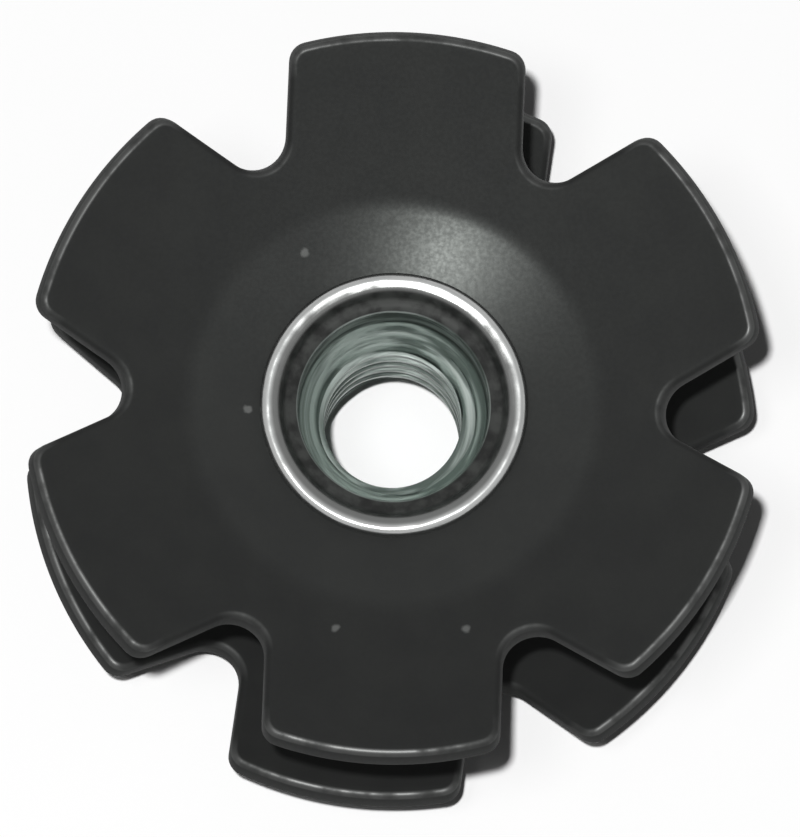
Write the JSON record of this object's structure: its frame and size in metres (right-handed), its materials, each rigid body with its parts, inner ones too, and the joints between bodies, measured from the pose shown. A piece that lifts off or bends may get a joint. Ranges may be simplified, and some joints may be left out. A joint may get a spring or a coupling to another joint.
{
  "type": "star nut",
  "caption": "Steerer-tube star nut: dished black spring-steel stars with cut petals, riveted one above the other on a zinc-plated sleeve with an M6 thread.",
  "frame": {"origin": "on the sleeve's axis, in the plane of the lower lip that the nut stands on", "axes": "+Z along the sleeve's axis towards the bolt side, where the petals point; +Y through the middle of one petal of the upper star"},
  "size_m": [0.0266, 0.0268, 0.0139],
  "materials": {
    "star_steel": "satin black coat on spring steel, rounded sheared edges",
    "sleeve_zinc": "bright zinc plate on turned steel"
  },
  "bodies": {
    "root": {"upper_star": "star_steel", "lower_star": "star_steel", "threaded_sleeve": "sleeve_zinc"}
  },
  "joints": []
}
